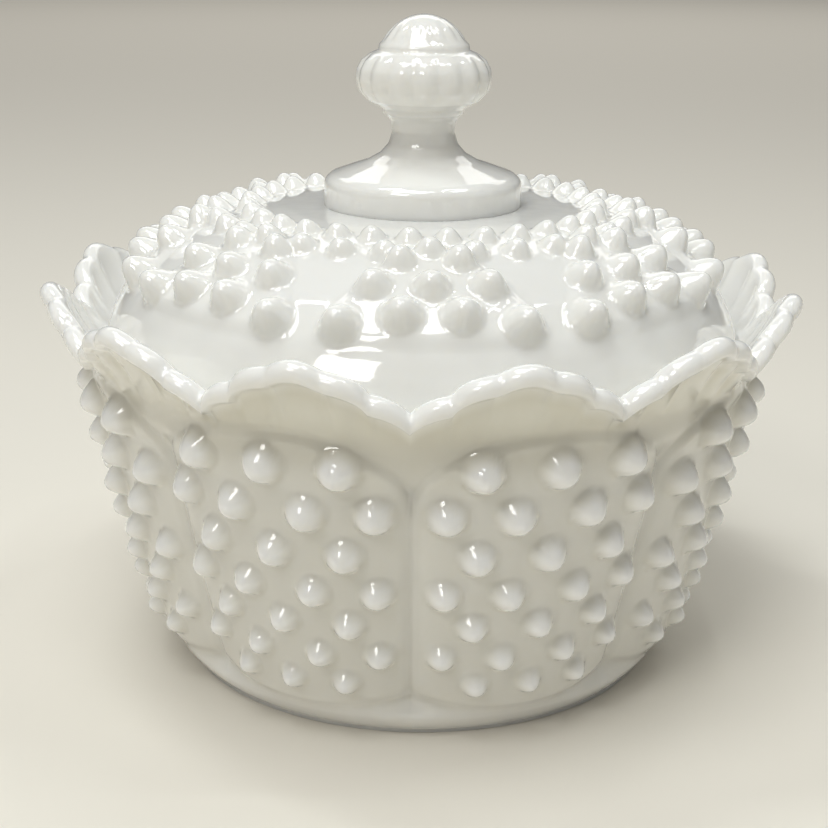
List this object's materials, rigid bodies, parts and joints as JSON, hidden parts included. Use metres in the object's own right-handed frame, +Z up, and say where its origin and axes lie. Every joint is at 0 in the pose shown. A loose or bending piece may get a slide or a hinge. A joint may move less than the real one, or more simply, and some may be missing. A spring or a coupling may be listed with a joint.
{
  "type": "covered glass jar",
  "caption": "Round pressed-glass jar with a panelled, studded bowl, a flared petal rim and a lift-off domed lid with a turned knob.",
  "frame": {"origin": "centre of the ring that the foot rests on, in the plane of that ring", "axes": "+Z up along the jar's axis; -Y through the valley between two petals, where a groove between two panels also lies"},
  "size_m": [0.1624, 0.1624, 0.1409],
  "materials": {
    "milk_glass": "fire-polished opaque white glass, cool at thin edges and warmer in the thick and shaded parts"
  },
  "bodies": {
    "bowl": {"jar_bowl": "milk_glass"},
    "lid": {"jar_lid": "milk_glass"}
  },
  "joints": [
    {"name": "lid_lift", "type": "slide", "parent": "bowl", "child": "lid", "axis": [0, 0, 1], "range_m": [0, 0.08]}
  ]
}
